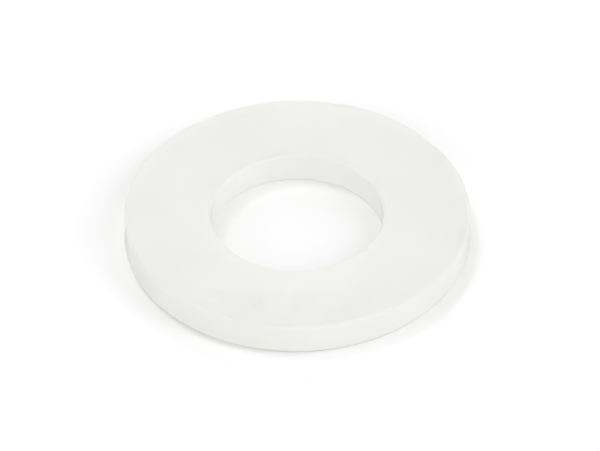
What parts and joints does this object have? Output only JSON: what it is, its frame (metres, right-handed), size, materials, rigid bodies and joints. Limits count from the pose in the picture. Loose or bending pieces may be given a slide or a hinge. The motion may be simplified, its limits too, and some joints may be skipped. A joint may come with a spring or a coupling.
{
  "type": "flat washer",
  "caption": "Plain flat washer for an M10 bolt: a thin round ring of natural, milky white nylon with a round bore and softly rounded edges.",
  "frame": {"origin": "centre of the lower bearing face, on the bolt's axis", "axes": "+Z along the bolt's axis, from the lower bearing face to the upper one; the washer is round, so X and Y lie anywhere in the lower bearing face"},
  "size_m": [0.021, 0.021, 0.002],
  "materials": {
    "natural_nylon": "milky, slightly translucent moulded nylon with a soft satin sheen"
  },
  "bodies": {
    "root": {"washer_ring": "natural_nylon"}
  },
  "joints": []
}
